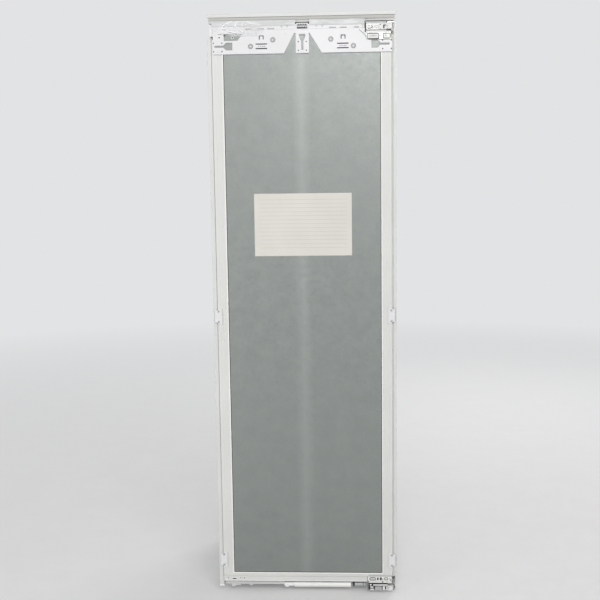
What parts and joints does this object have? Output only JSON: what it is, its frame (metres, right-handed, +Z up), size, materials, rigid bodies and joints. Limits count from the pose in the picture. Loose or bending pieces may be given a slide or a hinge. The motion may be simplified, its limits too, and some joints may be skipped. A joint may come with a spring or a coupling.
{
  "type": "built-in refrigerator",
  "caption": "Tall panel-ready built-in refrigerator with a folding-hinged door, a hanger plate for a furniture front, and a fitted interior with shelves, drawers and bins.",
  "frame": {"origin": "on the floor, under the middle of the overall box", "axes": "+X to the right and -Y to the front as seen from in front, +Z up"},
  "size_m": [0.556, 0.546, 1.772],
  "materials": {
    "case_steel": "satin",
    "foam": "matte",
    "liner_plastic": "gloss",
    "white_plastic": "satin",
    "clear_plastic": "gloss",
    "shelf_glass": "gloss",
    "base_steel": "satin",
    "compressor_black": "satin",
    "condenser_black": "satin",
    "rubber": "matte",
    "seal_white": "matte",
    "black_plastic": "matte",
    "fan_grey": "satin",
    "copper": "satin",
    "coil_aluminium": "satin",
    "light_white": "matte",
    "button_grey": "satin",
    "white_enamel": "gloss",
    "hinge_steel": "satin",
    "screw_steel": "satin",
    "dark_adjuster": "matte",
    "paper_card": "matte"
  },
  "bodies": {
    "cabinet": {"cabinet_shell": "case_steel", "back_panel": "case_steel", "insulation_foam": "foam", "inner_liner": "liner_plastic", "base_frame": "base_steel", "top_trim": "white_plastic", "machine_tray": "base_steel", "compressor": "compressor_black", "compressor_mounts": "rubber", "relay_box": "black_plastic", "mains_inlet": "black_plastic", "drip_tray": "black_plastic", "drain_tube": "black_plastic", "filter_drier": "copper", "refrigerant_tubes": "copper", "condenser": "condenser_black", "wall_spacers": "black_plastic", "air_duct_cover": "white_plastic", "fan_motor": "black_plastic", "evaporator": "coil_aluminium", "glass_shelves": "shelf_glass", "shelf_trims": "white_plastic", "drawer_runners": "white_plastic", "led_strips": "light_white", "control_panel": "white_plastic", "hinge_cabinet_plate_top": "hinge_steel", "hinge_cabinet_plate_bottom": "hinge_steel", "cabinet_screws": "screw_steel"},
    "door": {"door_skin": "case_steel", "door_frame": "white_plastic", "door_foam": "foam", "door_liner": "liner_plastic", "door_gasket": "seal_white", "side_trims": "white_plastic", "hanger_plate": "white_enamel", "hanger_adjuster": "dark_adjuster", "side_brackets": "white_enamel", "door_screws": "screw_steel", "fitting_card": "paper_card", "hinge_door_plate_top": "hinge_steel", "hinge_door_plate_bottom": "hinge_steel", "damper_cylinder": "white_plastic", "door_bins": "clear_plastic", "dairy_box": "white_plastic"},
    "long_arm_top": {"hinge_long_arm_top": "hinge_steel"},
    "long_arm_bottom": {"hinge_long_arm_bottom": "hinge_steel"},
    "short_arm_top": {"hinge_short_arm_top": "hinge_steel"},
    "short_arm_bottom": {"hinge_short_arm_bottom": "hinge_steel"},
    "dairy_lid": {"dairy_lid": "clear_plastic"},
    "damper_rod": {"damper_rod": "hinge_steel"},
    "crisper_lower": {"crisper_box_lower": "clear_plastic"},
    "crisper_upper": {"crisper_box_upper": "clear_plastic"},
    "fan_rotor": {"fan_rotor": "fan_grey"},
    "temperature_button": {"temperature_button": "button_grey"},
    "mode_button": {"mode_button": "button_grey"},
    "light_button": {"light_button": "button_grey"},
    "light_switch_plunger": {"light_switch_plunger": "button_grey"},
    "foot_left": {"levelling_foot_left": "black_plastic"},
    "foot_right": {"levelling_foot_right": "black_plastic"},
    "rear_rollers": {"rear_rollers": "black_plastic"}
  },
  "joints": [
    {"name": "door_swing", "type": "hinge", "parent": "cabinet", "child": "long_arm_top", "pos_m": [0.259, -0.2412, 0.886], "axis": [0, 0, 1], "range_deg": [0, 86.4]},
    {"name": "door_turn_on_arm", "type": "hinge", "parent": "long_arm_top", "child": "door", "pos_m": [0.2198, -0.258, 0.886], "axis": [0, 0, 1], "range_deg": [0, 28.6]},
    {"name": "long_arm_bottom_swing", "type": "hinge", "parent": "cabinet", "child": "long_arm_bottom", "pos_m": [0.259, -0.2412, 0.036], "axis": [0, 0, 1], "range_deg": [0, 86.4]},
    {"name": "short_arm_top_swing", "type": "hinge", "parent": "cabinet", "child": "short_arm_top", "pos_m": [0.2658, -0.2275, 1.709], "axis": [0, 0, 1], "range_deg": [0, 36.4]},
    {"name": "short_arm_bottom_swing", "type": "hinge", "parent": "cabinet", "child": "short_arm_bottom", "pos_m": [0.2658, -0.2275, 0.036], "axis": [0, 0, 1], "range_deg": [0, 36.4]},
    {"name": "damper_stroke", "type": "slide", "parent": "door", "child": "damper_rod", "axis": [1, 0, 0], "range_m": [0, 0.007]},
    {"name": "light_switch_travel", "type": "slide", "parent": "cabinet", "child": "light_switch_plunger", "axis": [0, -1, 0], "range_m": [0, 0.004]},
    {"name": "crisper_lower_slide", "type": "slide", "parent": "cabinet", "child": "crisper_lower", "axis": [0, -1, 0], "range_m": [0, 0.11]},
    {"name": "crisper_upper_slide", "type": "slide", "parent": "cabinet", "child": "crisper_upper", "axis": [0, -1, 0], "range_m": [0, 0.15]},
    {"name": "dairy_lid_swing", "type": "hinge", "parent": "door", "child": "dairy_lid", "pos_m": [0, -0.20264, 1.5617], "axis": [1, 0, 0], "range_deg": [0, 80]},
    {"name": "fan_spin", "type": "hinge", "parent": "cabinet", "child": "fan_rotor", "pos_m": [0, 0.175, 1.4], "axis": [0, 1, 0], "continuous": true},
    {"name": "rear_roller_spin", "type": "hinge", "parent": "cabinet", "child": "rear_rollers", "pos_m": [0, 0.2148, 0.014], "axis": [1, 0, 0], "continuous": true},
    {"name": "foot_left_height", "type": "slide", "parent": "cabinet", "child": "foot_left", "axis": [0, 0, 1], "range_m": [-0.02, 0]},
    {"name": "foot_right_height", "type": "slide", "parent": "cabinet", "child": "foot_right", "axis": [0, 0, 1], "range_m": [-0.02, 0]},
    {"name": "temperature_button_press", "type": "slide", "parent": "cabinet", "child": "temperature_button", "axis": [0, 1, 0], "range_m": [0, 0.0015], "stiffness_N_per_m": 300, "springref_m": -0.001},
    {"name": "mode_button_press", "type": "slide", "parent": "cabinet", "child": "mode_button", "axis": [0, 1, 0], "range_m": [0, 0.0015], "stiffness_N_per_m": 300, "springref_m": -0.001},
    {"name": "light_button_press", "type": "slide", "parent": "cabinet", "child": "light_button", "axis": [0, 1, 0], "range_m": [0, 0.0015], "stiffness_N_per_m": 300, "springref_m": -0.001}
  ],
  "couplings": [
    {"joint": "door_turn_on_arm", "follows": "door_swing", "ratio": 0.331},
    {"joint": "long_arm_bottom_swing", "follows": "door_swing", "ratio": 1},
    {"joint": "short_arm_top_swing", "follows": "door_swing", "ratio": 0.4206},
    {"joint": "short_arm_bottom_swing", "follows": "door_swing", "ratio": 0.4206},
    {"joint": "damper_stroke", "follows": "door_swing", "m_per_rad": 0.0046},
    {"joint": "light_switch_travel", "follows": "door_swing", "m_per_rad": 0.0026},
    {"joint": "crisper_lower_slide", "follows": "door_swing", "m_per_rad": 0.0729},
    {"joint": "crisper_upper_slide", "follows": "door_swing", "m_per_rad": 0.099}
  ]
}
